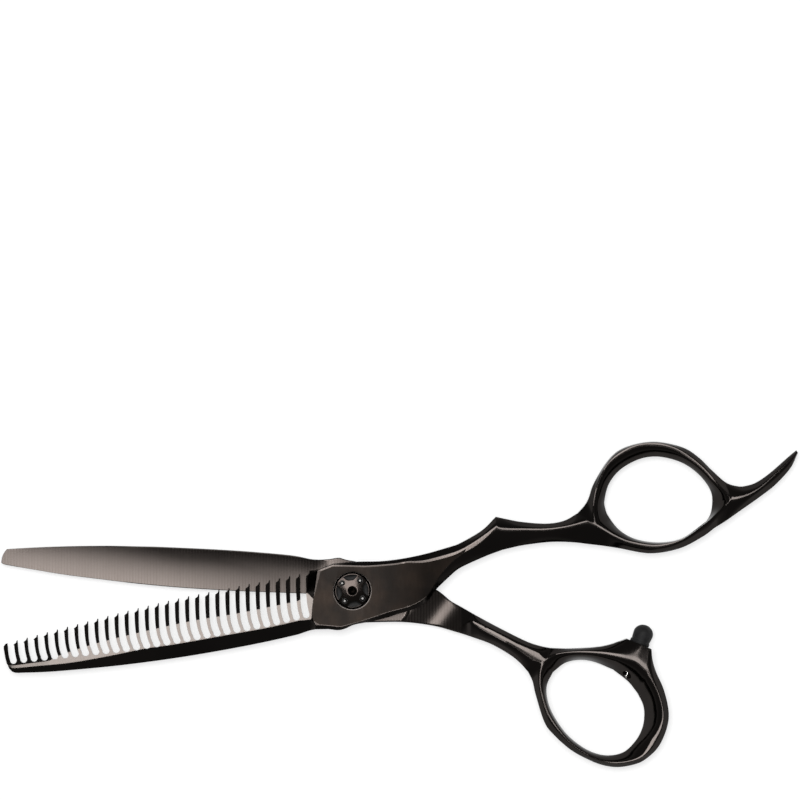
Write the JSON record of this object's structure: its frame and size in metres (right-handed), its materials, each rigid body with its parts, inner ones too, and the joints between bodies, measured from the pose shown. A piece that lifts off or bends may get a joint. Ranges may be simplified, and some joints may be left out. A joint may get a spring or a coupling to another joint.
{
  "type": "thinning shears",
  "caption": "Hairdresser's thinning shears, part open: comb blade and plain blade, two finger rings, curved tang, flush tension dial and rubber bumper.",
  "frame": {"origin": "on the pivot's axis, at the rear face of the stud's head, in the plane the shears rest on", "axes": "+Z along the pivot towards the tension dial, -X towards the blade tips, +X towards the finger rings"},
  "size_m": [0.1756, 0.0717, 0.0069],
  "materials": {
    "satin_titanium": "dark titanium coating on steel, brushed across the blade",
    "polished_titanium": "near-black titanium coating on polished steel",
    "dial_titanium": "dark coated, turned face",
    "bearing_bronze": "plain turned",
    "nylon": "natural",
    "bright_steel": "bare polished steel",
    "black_rubber": "matt black"
  },
  "bodies": {
    "finger_half": {"comb_blade": "satin_titanium", "finger_handle": "polished_titanium", "pivot_bush": "bearing_bronze", "thrust_washer": "nylon"},
    "thumb_half": {"cutting_blade": "satin_titanium", "thumb_handle": "polished_titanium", "pivot_stud": "polished_titanium", "wave_spring": "bright_steel", "click_plate": "bright_steel", "bumper": "black_rubber", "bumper_stem": "bright_steel"},
    "dial": {"tension_dial": "dial_titanium", "dial_ball_1": "bright_steel", "dial_ball_2": "bright_steel", "dial_ball_3": "bright_steel", "dial_ball_4": "bright_steel"}
  },
  "joints": [
    {"name": "blade_pivot", "type": "hinge", "parent": "finger_half", "child": "thumb_half", "pos_m": [0, 0, 0.0035], "axis": [0, 0, 1], "range_deg": [-76, 13]},
    {"name": "tension_dial_turn", "type": "hinge", "parent": "thumb_half", "child": "dial", "pos_m": [0, 0, 0.0064], "axis": [0, 0, 1], "range_deg": [-90, 90]}
  ]
}
